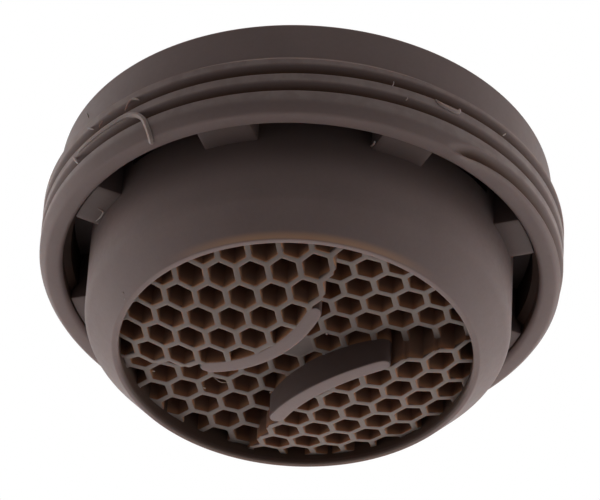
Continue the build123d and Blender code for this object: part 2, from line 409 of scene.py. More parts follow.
def moulded_grain():
    """Cloudy colour, uneven gloss and fine texture of a moulded surface."""
    name = "Moulded grain"
    if name in bpy.data.node_groups:
        return bpy.data.node_groups[name]
    tree = bpy.data.node_groups.new(name, "ShaderNodeTree")
    new_sockets(tree, "INPUT", Base="NodeSocketColor", Mottle="NodeSocketFloat", Gloss="NodeSocketFloat")
    new_sockets(tree, "OUTPUT", Color="NodeSocketColor", Roughness="NodeSocketFloat")
    new_sockets(tree, "OUTPUT", Height="NodeSocketFloat")
    given = tree.nodes.new("NodeGroupInput").outputs
    made = tree.nodes.new("NodeGroupOutput").inputs
    where = object_place(tree)
    clouds = noise(tree, where, CLOUD_SCALE, 4.0)
    grain = noise(tree, where, GRAIN_SCALE, 3.0)
    speckle = noise(tree, where, SPECKLE_SCALE, 2.0)
    cloud_swing = calculate(tree, "SUBTRACT", clouds, 0.5)
    grain_swing = calculate(tree, "SUBTRACT", grain, 0.5)
    swing = calculate(tree, "MULTIPLY_ADD", grain_swing, GRAIN_SHARE, cloud_swing)
    level = calculate(tree, "MULTIPLY_ADD", swing, given["Mottle"], 1.0)
    inputs = {"Red": level, "Green": level, "Blue": level}
    tone = add_node(tree, "ShaderNodeCombineColor", inputs).outputs["Color"]
    mottled = blend_colours(tree, 1.0, given["Base"], tone, "MULTIPLY")
    tree.links.new(mottled, made["Color"])
    rough_swing = product(tree, calculate(tree, "SUBTRACT", speckle, 0.5), ROUGHNESS_SWING)
    tree.links.new(calculate(tree, "ADD", given["Gloss"], rough_swing), made["Roughness"])
    tree.links.new(calculate(tree, "MULTIPLY_ADD", speckle, SPECKLE_SHARE, grain), made["Height"])
    return tree


def pale_edge_and_highlight():
    """Paler colour where the piece's scuff and highlight mark is high, broken up by noise: scuffs, together
    with a painted highlight along edges.
    """
    name = "Rubbed edge"
    if name in bpy.data.node_groups:
        return bpy.data.node_groups[name]
    tree = bpy.data.node_groups.new(name, "ShaderNodeTree")
    new_sockets(tree, "INPUT", Base="NodeSocketColor", Rubbed="NodeSocketColor", Amount="NodeSocketFloat")
    new_sockets(tree, "OUTPUT", Color="NodeSocketColor")
    given = tree.nodes.new("NodeGroupInput").outputs
    made = tree.nodes.new("NodeGroupOutput").inputs
    patches = noise(tree, object_place(tree), PATCH_SCALE, 3.0)
    broken = calculate(tree, "MULTIPLY_ADD", remap(tree, patches, 0.34, 0.62), 0.5, 0.5)
    # The mask mixes scuffs with a painted highlight on the edges
    mask = product(tree, attribute(tree, "wear_and_highlight"), broken, given["Amount"])
    rubbed = blend_colours(tree, mask, given["Base"], given["Rubbed"])
    tree.links.new(rubbed, made["Color"])
    return tree


def new_material(name):
    material = bpy.data.materials.new(name)
    material.use_nodes = True
    tree = material.node_tree
    return material, tree, tree.nodes["Principled BSDF"]


def group_node(tree, group, inputs):
    return add_node(tree, "ShaderNodeGroup", inputs, node_tree=group)


def grained(tree, shader, base, mottle, gloss, relief):
    """Feeds gloss and relief of the moulded grain to the shader, and gives back its colour."""
    grain = group_node(tree, moulded_grain(), {"Base": base, "Mottle": mottle, "Gloss": gloss})
    tree.links.new(grain.outputs["Roughness"], shader.inputs["Roughness"])
    bump = add_node(tree, "ShaderNodeBump", {"Height": grain.outputs["Height"], "Distance": relief})
    bump.inputs["Strength"].default_value = 0.5
    tree.links.new(bump.outputs["Normal"], shader.inputs["Normal"])
    return grain.outputs["Color"]


def translucent(shader):
    """Lets light soak a short way into the plastic, red furthest."""
    shader.inputs["Specular IOR Level"].default_value = 0.26
    shader.inputs["Subsurface Weight"].default_value = 0.35
    shader.inputs["Subsurface Radius"].default_value = (1.0, 0.36, 0.16)
    shader.inputs["Subsurface Scale"].default_value = 0.35 * MM


def ring_plastic(colours):
    """Grey plastic, paler on the crests with scuffs and a painted highlight, with painted brown shade in the
    groove and on the slope under the band and painted shade on the inner wall.
    """
    material, tree, shader = new_material("Ring plastic")
    translucent(shader)
    base = grained(tree, shader, tuple(colours.plastic), mottle=0.17, gloss=0.56, relief=GRAIN_RELIEF)
    # Painted brown shade in the groove and on the slope under the band; painted shade on the inner wall
    deep = remap(tree, attribute(tree, "groove"), 0.1, 0.9)
    tinted = blend_colours(tree, deep, base, tuple(colours.groove))
    shaded = blend_colours(tree, attribute(tree, "inner"), tinted, tuple(colours.bore))
    # Paler crests: scuffs together with a painted highlight
    inputs = {"Base": shaded, "Rubbed": tuple(colours.rubbed), "Amount": 0.55}
    worn_and_highlit = group_node(tree, pale_edge_and_highlight(), inputs)
    tree.links.new(worn_and_highlit.outputs["Color"], shader.inputs["Base Color"])
    return material


def sleeve_plastic(colours, sizes):
    """Grey plastic with painted shade in the gap behind the ring, a painted glow above the rim's near side,
    painted brown shade on the rim's far side and painted shade inside the outlet.
    """
    material, tree, shader = new_material("Sleeve plastic")
    translucent(shader)
    base = grained(tree, shader, tuple(colours.plastic), mottle=0.20, gloss=0.58, relief=GRAIN_RELIEF)
    where = object_place(tree)
    height = separate(tree, where)["Z"]
    towards = dot_product(tree, where, near_direction())
    radius = vector_length(tree, calculate_vector(tree, "MULTIPLY", where, (1.0, 1.0, 0.0)))
    rim = sizes.rim_height
    reach = sizes.rim_radius
    bore = sizes.bore_radius

    # Painted shade in the gap behind the ring, darker towards the ring
    in_gap = remap(tree, height, 3.3 * MM, 5.4 * MM)
    shaded_gap = blend_colours(tree, product(tree, in_gap, 0.7), base, tuple(colours.painted_shade))

    # Painted light: a glow just above the near side of the rim, as of light soaking through it
    just_above = remap(tree, height, rim + 0.36 * MM, rim + 0.08 * MM)
    off_rim = remap(tree, height, rim, rim + 0.07 * MM)
    facing = remap(tree, towards, 0.7 * reach, reach)
    glowing_rim = blend_colours(tree, product(tree, just_above, off_rim, facing), shaded_gap, tuple(colours.painted_rim_glow))

    # Painted brown shade on the far side of the rim
    edge = remap(tree, height, rim + 0.16 * MM, rim)
    turned_away = remap(tree, towards, -0.5 * reach, -0.9 * reach)
    far_rim_shaded = blend_colours(tree, product(tree, edge, turned_away, 0.8), glowing_rim, tuple(colours.groove))

    # Painted shade: a dark bore, and the rim's inner edge darkened on its far half
    on_bore = remap(tree, radius, bore + 0.12 * MM, bore + 0.02 * MM)
    inside = remap(tree, height, rim, rim + 0.25 * MM)
    inner_edge = remap(tree, radius, bore + 0.21 * MM, bore + 0.06 * MM)
    far_half = remap(tree, towards, 0.0, -0.4 * reach)
    shaded_edge = product(tree, inner_edge, far_half, 0.85)
    shaded = calculate(tree, "MAXIMUM", product(tree, on_bore, inside), shaded_edge)
    dark = blend_colours(tree, shaded, far_rim_shaded, tuple(colours.bore))
    tree.links.new(dark, shader.inputs["Base Color"])
    return material


def comb_plastic(name, face, colours, wall_shade):
    """Plastic with painted shade on its walls, a painted brown glow just inside each opening and painted
    shade further in.
    """
    material, tree, shader = new_material(name)
    translucent(shader)
    moulded = grained(tree, shader, tuple(face), mottle=0.18, gloss=0.58, relief=COMB_RELIEF)
    # Painted shade on the walls and on the middle plate
    wall_shade_mask = product(tree, attribute(tree, "wall"), wall_shade)
    base = blend_colours(tree, wall_shade_mask, moulded, tuple(colours.painted_shade))
    depth = attribute(tree, "cell_depth")
    # Painted glow at each opening, and painted shade deeper in the cell
    glowing = blend_colours(tree, remap(tree, depth, 0.0, 0.06 * MM), base, tuple(colours.painted_cell_glow))
    deep = remap(tree, depth, 0.04 * MM, 0.45 * MM)
    dark = blend_colours(tree, deep, glowing, tuple(colours.cell_depth))
    tree.links.new(dark, shader.inputs["Base Color"])
    return material


def torn_plastic(colours):
    material, tree, shader = new_material("Torn plastic")
    translucent(shader)
    base = grained(tree, shader, tuple(colours.torn), mottle=0.3, gloss=0.5, relief=GRAIN_RELIEF)
    tree.links.new(base, shader.inputs["Base Color"])
    return material


def plain_plastic(name, base, gloss, specular):
    material, tree, shader = new_material(name)
    shader.inputs["Specular IOR Level"].default_value = specular
    moulded = grained(tree, shader, tuple(base), mottle=0.16, gloss=gloss, relief=GRAIN_RELIEF)
    tree.links.new(moulded, shader.inputs["Base Color"])
    return material


# Threaded ring
def groove_depth(sizes, turn, height):
    """Depth of the helical groove at a plan angle and height, with a soft floor and a dipping start."""
    full_turn = 2 * math.pi
    laps = 4
    first_width = 0.7
    first_depth = 0.55
    softness = 0.7
    since_start = (turn - sizes.groove_turn) % full_turn
    depth = 0.0
    for lap in range(laps):
        travelled = since_start + lap * full_turn
        grown = min(1.0, travelled / sizes.groove_fade)
        grown = grown * (2 - grown)
        centre = sizes.groove_start + sizes.thread_pitch * travelled / full_turn
        centre -= sizes.groove_drop * (1 - grown)
        half_width = sizes.groove_half_width * (first_width + (1 - first_width) * grown)
        slope = max(0.0, 1.0 - abs(height - centre) / half_width)
        rounded = slope * slope * (3 - 2 * slope) * softness + slope * (1 - softness)
        entered = min(1.0, travelled / sizes.groove_entry)
        depth = max(depth, sizes.thread_depth * min(1.0, first_depth + grown) * entered * rounded)
    return depth


def crest_at(sizes, height):
    """Radius of the ungrooved wall, which curves inwards at the foot and is rounded at its edge."""
    foot_curve = 1.6
    below = max(0.0, sizes.bottom + sizes.foot_height - height) / sizes.foot_height
    near_edge = max(0.0, sizes.bottom + sizes.edge_round - height)
    rounding = sizes.edge_round - math.sqrt(max(0.0, sizes.edge_round**2 - near_edge**2))
    return sizes.crest_radius - sizes.foot_inset * below**foot_curve - rounding


def thread_wall(bm, sizes, inner, low, high):
    """Rim of the lower face, and the outer wall whose rows follow the thread between low and high."""
    rows_per_turn = 25
    step = sizes.thread_pitch / rows_per_turn
    rows = math.ceil((high - low) / step) + rows_per_turn + 1
    columns = []
    for index in range(sizes.segments + 1):
        turn = 2 * math.pi * index / sizes.segments
        column = [bm.verts.new(around_axis(inner, turn, low))]
        for row in range(rows):
            height = low + (row - rows_per_turn + index / sizes.segments * rows_per_turn) * step
            height = min(max(height, low), high)
            edge = min(1.0, (high - height) / (2 * step))
            radius = crest_at(sizes, height) - edge * groove_depth(sizes, turn, height)
            column.append(bm.verts.new(around_axis(radius, turn, height)))
        columns.append(column)
    skin(bm, columns, full_turn=False)


def mark_ring(bm, sizes, lip, thread_high, band_low):
    """Marks the paler crests and foot edge (scuffs and a painted highlight), the groove and the slope under
    the band for painted brown shade, and the inner wall for painted shade.
    """
    crest = sizes.crest_radius
    foot = sizes.bottom
    crest_edge = 0.06 * MM
    look_above = 0.25 * MM
    slope_shade = 0.7
    wear_and_highlight = bm.verts.layers.float.new("wear_and_highlight")
    groove = bm.verts.layers.float.new("groove")
    inner = bm.verts.layers.float.new("inner")
    for vertex in bm.verts:
        height = vertex.co.z
        turn = math.atan2(vertex.co.y, vertex.co.x)
        out = crest - vertex.co.xy.length
        on_crest = max(0.0, 1.0 - out / crest_edge)
        above_foot = remap_plain(height, foot + 0.4 * MM, foot + 0.8 * MM)
        slope = remap_plain(height, thread_high, band_low) * (height < band_low)
        on_thread = out < crest - lip and height < thread_high
        sunk = groove_depth(sizes, turn, height) if on_thread else 0.0
        groove_above = groove_depth(sizes, turn, height + look_above)
        foot_edge = remap_plain(height, foot + 0.3 * MM, foot) * (out < 2 * sizes.foot_inset)
        cut_open = foot_edge * remap_plain(groove_above, 0.1 * MM, 0.3 * MM)
        # Paler crests and foot edge: scuffs, and a painted highlight along the edges
        vertex[wear_and_highlight] = max(on_crest * above_foot, cut_open)
        # The groove and the slope under the band get painted brown shade
        vertex[groove] = max(sunk / sizes.thread_depth, slope_shade * slope)
        # The inner wall gets painted shade
        vertex[inner] = out > crest - lip - 0.02 * MM and height > foot + 0.8 * sizes.lip_round


def ring_mesh(sizes):
    crest = sizes.crest_radius
    band = crest - sizes.band_step
    band_low = sizes.top - sizes.band_height
    lip = crest - sizes.lip_wall
    bore = crest - sizes.wall
    seat = band - sizes.seat_wall
    seat_low = sizes.top - sizes.seat_depth
    soft = sizes.edge_round
    face_edge = lip + sizes.lip_round + 0.1 * MM
    thread_high = band_low - sizes.band_step
    lip_top = sizes.bottom + sizes.lip_depth
    corners = [
        (crest, thread_high, 0),
        (band, band_low, soft),
        (band, sizes.top, 2 * soft),
        (seat, sizes.top, soft),
        (seat, seat_low, 0),
        (bore, seat_low, 0),
        (bore, lip_top + lip - bore, 0),
        (lip, lip_top, soft),
        (lip, sizes.bottom, sizes.lip_round),
        (face_edge, sizes.bottom, 0),
    ]
    bm = bmesh.new()
    revolve(bm, rounded_outline(corners), sizes.segments, closed=False)
    thread_wall(bm, sizes, face_edge, sizes.bottom, thread_high)
    mark_ring(bm, sizes, lip, thread_high, band_low)
    return finish_mesh(bm, "Threaded ring")


class AERATOR_OT_threaded_ring(bpy.types.Operator):
    """Build the ring with its helical thread"""

    bl_idname = "aerator.threaded_ring"
    bl_label = "Threaded ring"

    def execute(self, context):
        scene = context.scene
        piece = new_object("ring_with_thread", ring_mesh(scene.aerator_ring))
        place(piece, ring_plastic(scene.aerator_colours), "ring_plastic", "threaded_ring")
        return {"FINISHED"}


# Outlet sleeve
def sleeve_outline(sizes):
    taper_top = sizes.rim_height + sizes.taper_height
    return rounded_outline(
        [
            (sizes.bore_radius, sizes.rim_height, sizes.rim_round),
            (sizes.rim_radius, sizes.rim_height, sizes.rim_round),
            (sizes.neck_radius, taper_top, sizes.taper_round),
            (sizes.neck_radius, sizes.collar_height, 0),
            (sizes.collar_radius, sizes.collar_height, 0),
            (sizes.collar_radius, sizes.flange_height, 0),
            (sizes.flange_radius, sizes.flange_height, 0),
            (sizes.flange_radius, sizes.top, sizes.rim_round),
            (sizes.rebate_radius, sizes.top, sizes.rim_round),
            (sizes.rebate_radius, sizes.washer_height, 0),
            (sizes.insert_radius, sizes.washer_height, 0),
            (sizes.insert_radius, sizes.jet_plate_height, 0),
            (sizes.chamber_radius, sizes.jet_plate_height, 0),
            (sizes.chamber_radius, sizes.grid_height, 0),
            (sizes.ledge_radius, sizes.grid_height, 0),
            (sizes.ledge_radius, sizes.comb_top, 0),
            (sizes.bore_radius, sizes.comb_top, 0),
        ],
        steps=10,
    )


def box_mesh(name, low, high):
    bm = bmesh.new()
    bmesh.ops.create_cube(bm, size=1.0)
    size = high - low
    for vertex in bm.verts:
        vertex.co = low + Vector((vertex.co[axis] + 0.5) * size[axis] for axis in range(3))
    return finish_mesh(bm, name)


def turned_copies_tree():
    """Copies of a piece, spread evenly round Z."""
    name = "Copies round the axis"
    if name in bpy.data.node_groups:
        return bpy.data.node_groups[name]
    tree = bpy.data.node_groups.new(name, "GeometryNodeTree")
    new_sockets(tree, "INPUT", Geometry="NodeSocketGeometry", Count="NodeSocketInt", Start="NodeSocketFloat")
    new_sockets(tree, "INPUT", Material="NodeSocketMaterial")
    new_sockets(tree, "OUTPUT", Geometry="NodeSocketGeometry")
    given = tree.nodes.new("NodeGroupInput").outputs
    made = tree.nodes.new("NodeGroupOutput").inputs
    points = add_node(tree, "GeometryNodePoints", {"Count": given["Count"]}).outputs[0]
    index = add_node(tree, "GeometryNodeInputIndex").outputs[0]
    step = calculate(tree, "DIVIDE", 2 * math.pi, given["Count"])
    turn = calculate(tree, "MULTIPLY_ADD", index, step, given["Start"])
    rotation = combine(tree, Z=turn)
    inputs = {"Points": points, "Instance": given["Geometry"], "Rotation": rotation}
    copies = add_node(tree, "GeometryNodeInstanceOnPoints", inputs).outputs[0]
    real = add_node(tree, "GeometryNodeRealizeInstances", {"Geometry": copies}).outputs[0]
    inputs = {"Geometry": real, "Material": given["Material"]}
    finished = add_node(tree, "GeometryNodeSetMaterial", inputs).outputs[0]
    tree.links.new(finished, made["Geometry"])
    return tree


def copy_round(piece, count, start, material):
    modifier = piece.modifiers.new("Copies round the axis", "NODES")
    modifier.node_group = turned_copies_tree()
    set_inputs(modifier, count=count, start=start, material=material)


def lug_mesh(sizes, lip_depth, ring_low):
    """One lug on the X axis, with its nose rounded to fit inside the ring's lip."""
    sunk_in = 0.15 * MM
    root = sizes.neck_radius - sunk_in
    lip_top = ring_low + lip_depth
    slope_top = lip_top + sizes.nose_radius - sizes.collar_radius
    head = sizes.collar_height + sunk_in
    foot = ring_low + sizes.lug_recess
    outline = [
        (root, foot),
        (sizes.nose_radius, foot),
        (sizes.nose_radius, lip_top),
        (sizes.collar_radius, slope_top),
        (sizes.collar_radius, head),
        (root, head),
    ]
    columns_across = 8
    bm = bmesh.new()
    columns = []
    for index in range(columns_across + 1):
        across = sizes.lug_width * (index / columns_across - 0.5)
        column = []
        for radius, height in outline:
            sagged = math.sqrt(radius**2 - across**2) if radius > root else radius
            column.append(bm.verts.new((sagged, across, height)))
        columns.append(column)
    skin(bm, columns, closed=True, full_turn=False)
    bm.faces.new(columns[0])
    bm.faces.new(columns[-1])
    return finish_mesh(bm, "Lug")


class AERATOR_OT_sleeve_wall(bpy.types.Operator):
    """Build the sleeve's wall with its air windows, and the lugs on it"""

    bl_idname = "aerator.sleeve_wall"
    bl_label = "Sleeve wall and lugs"

    def execute(self, context):
        scene = context.scene
        sizes = scene.aerator_sleeve
        ring = scene.aerator_ring
        material = sleeve_plastic(scene.aerator_colours, sizes)
        overshoot = 0.6 * MM
        window_top = sizes.window_low + sizes.window_height
        low = Vector((sizes.chamber_radius - overshoot, -sizes.window_width / 2, sizes.window_low))
        high = Vector((sizes.neck_radius + overshoot, sizes.window_width / 2, window_top))
        windows = new_object("window_cutter", box_mesh("Window", low, high))
        copy_round(windows, sizes.lug_count, 0.0, material)
        bm = bmesh.new()
        revolve(bm, sleeve_outline(sizes), sizes.segments)
        wall = new_object("sleeve_wall", finish_mesh(bm, "Sleeve wall"))
        cut = wall.modifiers.new("Air windows", "BOOLEAN")
        cut.operation = "DIFFERENCE"
        cut.solver = "MANIFOLD"
        cut.object = windows
        settle(wall)
        bpy.data.objects.remove(windows)
        place(wall, material, "sleeve_plastic", "outlet_sleeve")
        lugs = new_object("sleeve_lugs", lug_mesh(sizes, ring.lip_depth, ring.bottom))
        bevel(lugs, sizes.lug_round)
        copy_round(lugs, sizes.lug_count, math.pi / sizes.lug_count, material)
        settle(lugs)
        place(lugs, material, "sleeve_plastic", "outlet_sleeve")
        return {"FINISHED"}


# Honeycomb
DRUM_SIDES = 180
DRUM_DEPTH = 20 * MM


def hexagon_points(tree, pitch, reach):
    """Points on the cells' centres, in columns that are shifted by half a pitch in turn."""
    sizes = bpy.context.scene.aerator_sleeve
    narrowing = math.cos(HEXAGON_SLANT)
    column_pitch = product(tree, pitch, narrowing)
    columns = 2 * (math.ceil(sizes.bore_radius / (sizes.cell_pitch * narrowing)) + 1) + 1
    rows = 2 * (math.ceil(sizes.bore_radius / sizes.cell_pitch) + 2) + 1
    inputs = {
        "Size X": product(tree, column_pitch, columns - 1),
        "Size Y": product(tree, pitch, rows - 1),
        "Vertices X": columns,
        "Vertices Y": rows,
    }
    grid = add_node(tree, "GeometryNodeMeshGrid", inputs).outputs["Mesh"]
    index = add_node(tree, "GeometryNodeInputIndex").outputs[0]
    column = calculate(tree, "FLOOR", calculate(tree, "DIVIDE", index, rows))
    odd = calculate(tree, "MODULO", calculate(tree, "ADD", column, columns // 2), 2.0)
    offset = combine(tree, Y=product(tree, odd, pitch, 0.5))
    shifted = add_node(tree, "GeometryNodeSetPosition", {"Geometry": grid, "Offset": offset}).outputs[0]
    place_now = add_node(tree, "GeometryNodeInputPosition").outputs[0]
    outside = calculate(tree, "GREATER_THAN", vector_length(tree, place_now), reach)
    inputs = {"Geometry": shifted, "Selection": outside}
    return add_node(tree, "GeometryNodeDeleteGeometry", inputs).outputs[0]


def in_domed_half(tree, centre, pitch):
    """Whether a cell's centre lies beyond the lines that fan out from the slot at 30 degrees."""
    parts = separate(tree, centre)
    along = calculate(tree, "ABSOLUTE", parts["X"])
    across = calculate(tree, "ABSOLUTE", parts["Y"])
    slope = product(tree, along, math.tan(HEXAGON_SLANT))
    border = calculate(tree, "MULTIPLY_ADD", pitch, 0.25, slope)
    return calculate(tree, "GREATER_THAN", across, border)


def dome_point(tree, spot, radius, centre):
    """Point of the dome's lower surface at a plan position."""
    parts = separate(tree, spot)
    x_square = calculate(tree, "POWER", parts["X"], 2.0)
    y_square = calculate(tree, "POWER", parts["Y"], 2.0)
    plan = calculate(tree, "ADD", x_square, y_square)
    radius_square = calculate(tree, "POWER", radius, 2.0)
    drop = calculate(tree, "SQRT", calculate(tree, "SUBTRACT", radius_square, plan))
    return combine(tree, X=parts["X"], Y=parts["Y"], Z=calculate(tree, "SUBTRACT", centre, drop))


def honeycomb_tree():
    """Hexagonal webs: a flat channel and two domed halves, cut round to fit the bore."""
    tree = bpy.data.node_groups.new("Honeycomb", "GeometryNodeTree")
    new_sockets(tree, "INPUT", Geometry="NodeSocketGeometry", Pitch="NodeSocketFloat", Wall="NodeSocketFloat")
    new_sockets(tree, "INPUT", Reach="NodeSocketFloat", Channel="NodeSocketFloat", Top="NodeSocketFloat")
    new_sockets(tree, "INPUT", Dome_Radius="NodeSocketFloat", Dome_Centre="NodeSocketFloat")
    new_sockets(tree, "INPUT", Rib_Centre="NodeSocketFloat", Rib_Middle="NodeSocketFloat")
    new_sockets(tree, "INPUT", Rib_End="NodeSocketFloat")
    new_sockets(tree, "INPUT", Material="NodeSocketMaterial")
    new_sockets(tree, "OUTPUT", Geometry="NodeSocketGeometry")
    given = tree.nodes.new("NodeGroupInput").outputs
    made = tree.nodes.new("NodeGroupOutput").inputs
    pitch = given["Pitch"]
    points = hexagon_points(tree, pitch, calculate(tree, "ADD", given["Reach"], pitch))

    # One cell: a hexagon with a smaller hexagon left open inside it
    outer = calculate(tree, "DIVIDE", pitch, math.sqrt(3))
    inputs = {"Vertices": 6, "Radius": outer}
    plug = add_node(tree, "GeometryNodeMeshCircle", inputs, fill_type="NGON").outputs[0]
    inputs = {"Mesh": plug, "Offset Scale": 0.0, "Individual": True}
    inset = add_node(tree, "GeometryNodeExtrudeMesh", inputs, mode="FACES")
    open_share = calculate(tree, "DIVIDE", calculate(tree, "SUBTRACT", pitch, given["Wall"]), pitch)
    inputs = {"Geometry": inset.outputs["Mesh"], "Selection": inset.outputs["Top"], "Scale": open_share}
    scaled = add_node(tree, "GeometryNodeScaleElements", inputs, domain="FACE").outputs[0]
    inputs = {"Geometry": scaled, "Selection": inset.outputs["Top"]}
    cell = add_node(tree, "GeometryNodeDeleteGeometry", inputs, domain="FACE").outputs[0]

    # Cells on their points, with the cell on the axis left whole
    spot = add_node(tree, "GeometryNodeInputPosition").outputs[0]
    on_axis = calculate(tree, "LESS_THAN", vector_length(tree, spot), 0.1 * MM)
    off_axis = calculate(tree, "SUBTRACT", 1.0, on_axis)
    inputs = {"Points": points, "Instance": cell, "Selection": off_axis}
    cells = add_node(tree, "GeometryNodeInstanceOnPoints", inputs).outputs[0]
    inputs = {"Points": points, "Instance": plug, "Selection": on_axis}
    middle = add_node(tree, "GeometryNodeInstanceOnPoints", inputs).outputs[0]
    both = add_node(tree, "GeometryNodeJoinGeometry")
    tree.links.new(cells, both.inputs[0])
    tree.links.new(middle, both.inputs[0])
    inputs = {"Geometry": both.outputs[0], "Name": "cell_centre", "Value": spot}
    marked = add_node(
        tree, "GeometryNodeStoreNamedAttribute", inputs, data_type="FLOAT_VECTOR", domain="INSTANCE"
    ).outputs[0]
    real = add_node(tree, "GeometryNodeRealizeInstances", {"Geometry": marked}).outputs[0]

    # A wall is raised where the cell on either side belongs to a domed half, as far as the middle of a rib
    centre = add_node(
        tree, "GeometryNodeInputNamedAttribute", {"Name": "cell_centre"}, data_type="FLOAT_VECTOR"
    ).outputs["Attribute"]
    towards = calculate_vector(tree, "NORMALIZE", calculate_vector(tree, "SUBTRACT", spot, centre))
    inputs = {0: towards, "Scale": pitch}
    reach = add_node(tree, "ShaderNodeVectorMath", inputs, operation="SCALE").outputs["Vector"]
    neighbour = calculate_vector(tree, "ADD", centre, reach)
    own_side = in_domed_half(tree, centre, pitch)
    other_side = in_domed_half(tree, neighbour, pitch)
    either = calculate(tree, "MAXIMUM", own_side, other_side)
    parts = separate(tree, spot)
    across = calculate(tree, "ABSOLUTE", parts["Y"])
    folded = combine(tree, X=parts["X"], Y=across)
    rib_centre = combine(tree, Y=given["Rib Centre"])
    inputs = {0: folded, 1: rib_centre}
    to_centre = add_node(tree, "ShaderNodeVectorMath", inputs, operation="DISTANCE").outputs["Value"]
    behind_rib = calculate(tree, "LESS_THAN", to_centre, given["Rib Middle"])
    along = calculate(tree, "ABSOLUTE", parts["X"])
    past_end = calculate(tree, "GREATER_THAN", along, product(tree, to_centre, given["Rib End"]))
    clear_of_slot = calculate(tree, "MAXIMUM", behind_rib, past_end)
    inputs = {"Geometry": real, "Name": "raised", "Value": product(tree, either, clear_of_slot)}
    flagged = add_node(
        tree, "GeometryNodeStoreNamedAttribute", inputs, data_type="BOOLEAN", domain="FACE"
    ).outputs[0]
    inputs = {"Geometry": flagged, "Distance": 0.01 * MM}
    sheet = add_node(tree, "GeometryNodeMergeByDistance", inputs).outputs[0]

    # Thickness upwards from the channel, and the domed halves downwards
    lift = combine(tree, Z=given["Channel"])
    low_sheet = add_node(tree, "GeometryNodeSetPosition", {"Geometry": sheet, "Offset": lift}).outputs[0]
    thickness = calculate(tree, "SUBTRACT", given["Top"], given["Channel"])
    up = combine(tree, Z=thickness)
    inputs = {"Mesh": low_sheet, "Offset": up, "Offset Scale": 1.0, "Individual": False}
    walls = add_node(tree, "GeometryNodeExtrudeMesh", inputs, mode="FACES").outputs["Mesh"]
    under = add_node(tree, "GeometryNodeFlipFaces", {"Mesh": low_sheet}).outputs[0]
    raised = add_node(
        tree, "GeometryNodeInputNamedAttribute", {"Name": "raised"}, data_type="BOOLEAN"
    ).outputs["Attribute"]
    down = combine(tree, Z=-1.0 * MM)
    inputs = {"Mesh": under, "Selection": raised, "Offset": down, "Offset Scale": 1.0, "Individual": False}
    stepped = add_node(tree, "GeometryNodeExtrudeMesh", inputs, mode="FACES")
    here = add_node(tree, "GeometryNodeInputPosition").outputs[0]
    on_dome = dome_point(tree, here, given["Dome Radius"], given["Dome Centre"])
    inputs = {"Geometry": stepped.outputs["Mesh"], "Selection": stepped.outputs["Top"], "Position": on_dome}
    domed = add_node(tree, "GeometryNodeSetPosition", inputs).outputs[0]
    joined = add_node(tree, "GeometryNodeJoinGeometry")
    tree.links.new(walls, joined.inputs[0])
    tree.links.new(domed, joined.inputs[0])
    inputs = {"Geometry": joined.outputs[0], "Distance": 0.002 * MM}
    closed = add_node(tree, "GeometryNodeMergeByDistance", inputs).outputs[0]

    # Cut round
    inputs = {"Vertices": DRUM_SIDES, "Radius": given["Reach"], "Depth": DRUM_DEPTH}
    drum = add_node(tree, "GeometryNodeMeshCylinder", inputs).outputs["Mesh"]
    cut = add_node(tree, "GeometryNodeMeshBoolean", operation="INTERSECT", solver="MANIFOLD")
    tree.links.new(closed, cut.inputs["Mesh 2"])
    tree.links.new(drum, cut.inputs["Mesh 2"])
    inputs = {"Geometry": cut.outputs["Mesh"]}
    real_cut = add_node(tree, "GeometryNodeRealizeInstances", inputs).outputs[0]
    inputs = {"Geometry": real_cut, "Material": given["Material"]}
    finished = add_node(tree, "GeometryNodeSetMaterial", inputs).outputs[0]
    tree.links.new(finished, made["Geometry"])
    return tree


def cell_at(sizes, x, y):
    """Centre of the honeycomb cell that a plan position lies in."""
    column_pitch = sizes.cell_pitch * math.cos(HEXAGON_SLANT)
    spot = Vector((x, y))
    centres = []
    first = math.floor(x / column_pitch)
    for column in (first, first + 1):
        shift = sizes.cell_pitch / 2 * (column % 2)
        row = round((y - shift) / sizes.cell_pitch)
        centres.append(Vector((column * column_pitch, row * sizes.cell_pitch + shift)))
    return min(centres, key=lambda centre: (centre - spot).length)


def in_slot(sizes, x, y):
    """Whether a plan position lies between the two ribs."""
    from_centre = Vector((x, sizes.slot_width / 2 + sizes.rib_radius - abs(y)))
    within_span = abs(x) < sizes.rib_radius * math.sin(sizes.rib_half_span)
    return within_span and from_centre.length > sizes.rib_radius - sizes.rib_width / 2


def opening_height(sizes, x, y):
    """Height of the lower edge of the cell that a plan position lies in."""
    centre = cell_at(sizes, x, y)
    domed = abs(centre.y) > abs(centre.x) * math.tan(HEXAGON_SLANT) + sizes.cell_pitch / 4
    if domed and not in_slot(sizes, x, y):
        return sizes.dome_centre - math.sqrt(sizes.dome_radius**2 - x * x - y * y)
    return sizes.channel_height


def mark_cell_depth(mesh, sizes):
    """Marks the walls and the middle plate for painted shade, and how far each wall's corners lie inside the
    cell that it faces, for the painted glow and shade there.
    """
    into_cell = 0.3 * MM
    wall_limit = 0.5
    plate_shade = 0.5
    bm = bmesh.new()
    bm.from_mesh(mesh)
    depth = bm.loops.layers.float.new("cell_depth")
    wall = bm.loops.layers.float.new("wall")
    for face in bm.faces:
        middle = face.calc_center_median()
        if face.normal.xy.length < wall_limit:
            # The middle plate in the slot gets half of the walls' painted shade
            on_plate = middle.xy.length < sizes.cell_pitch / 3
            for loop in face.loops:
                loop[wall] = plate_shade * on_plate
            continue
        before = middle + face.normal * into_cell
        behind = middle - face.normal * into_cell
        opening = min(opening_height(sizes, spot.x, spot.y) for spot in (before, behind))
        for loop in face.loops:
            # Depth into the cell feeds the painted glow and shade; walls get full painted shade
            loop[depth] = loop.vert.co.z - opening
            loop[wall] = 1.0
    bm.to_mesh(mesh)
    bm.free()


def border_of(rows):
    """Vertices round the edge of a grid of rows, in order."""
    near_side = [row[0] for row in rows]
    far_side = [row[-1] for row in rows[-2::-1]]
    return near_side + rows[-1][1:] + far_side + rows[0][-2:0:-1]


